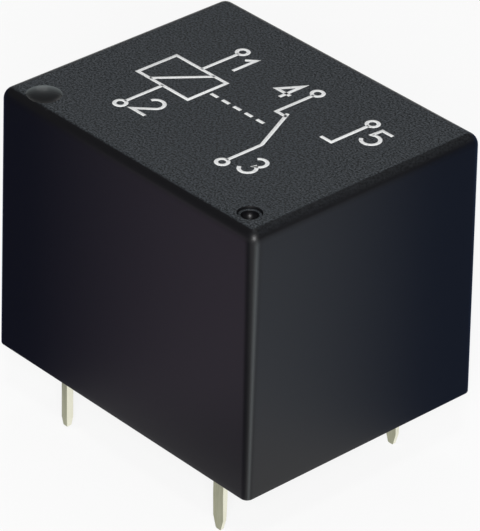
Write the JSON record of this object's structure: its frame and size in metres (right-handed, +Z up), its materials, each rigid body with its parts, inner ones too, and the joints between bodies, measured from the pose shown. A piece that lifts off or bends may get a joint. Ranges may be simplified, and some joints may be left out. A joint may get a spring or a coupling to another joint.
{
  "type": "pcb power relay",
  "caption": "Sealed black box-shaped relay for a circuit board: a coil pulls a sprung clapper armature that moves a changeover contact, with pins below.",
  "frame": {"origin": "middle of the body on the surface of the board, where the cover's bottom rim rests", "axes": "+Z up out of the board, +X along the body from the armature's hinge to the contacts, +Y across it"},
  "size_m": [0.0192, 0.0154, 0.0196],
  "materials": {
    "cover_plastic": "moulded black plastic, polished sides, spark-eroded top",
    "base_plastic": "moulded black plastic",
    "sealing_resin": "cast black epoxy resin",
    "bobbin_plastic": "moulded natural plastic",
    "enamelled_copper": "enamelled copper wire",
    "tinned_copper": "hot-dip tinned copper alloy",
    "plated_iron": "zinc-plated soft iron",
    "rivet_brass": "turned brass",
    "spring_bronze": "rolled phosphor bronze strip",
    "silver_alloy": "cold-headed silver alloy",
    "marking_ink": "white pad print"
  },
  "bodies": {
    "housing": {"cover": "cover_plastic", "base": "base_plastic", "seal_resin": "sealing_resin", "bobbin": "bobbin_plastic", "coil_winding": "enamelled_copper", "coil_lead_front": "enamelled_copper", "coil_lead_back": "enamelled_copper", "coil_pin_front": "tinned_copper", "coil_pin_back": "tinned_copper", "core": "plated_iron", "yoke": "plated_iron", "yoke_rivets": "rivet_brass", "com_terminal": "tinned_copper", "no_terminal": "tinned_copper", "no_contact": "silver_alloy", "nc_terminal": "tinned_copper", "nc_contact": "silver_alloy"},
    "clapper": {"armature": "plated_iron", "armature_rivets": "rivet_brass", "contact_spring": "spring_bronze", "moving_contact": "silver_alloy"}
  },
  "joints": [
    {"name": "armature_hinge", "type": "hinge", "parent": "housing", "child": "clapper", "pos_m": [-0.0078, 0, 0.01097], "axis": [0, 1, 0], "range_deg": [0, 1.8], "stiffness_Nm_per_rad": 0.045, "springref_deg": -1.72, "deforming": ["contact_spring"]}
  ]
}
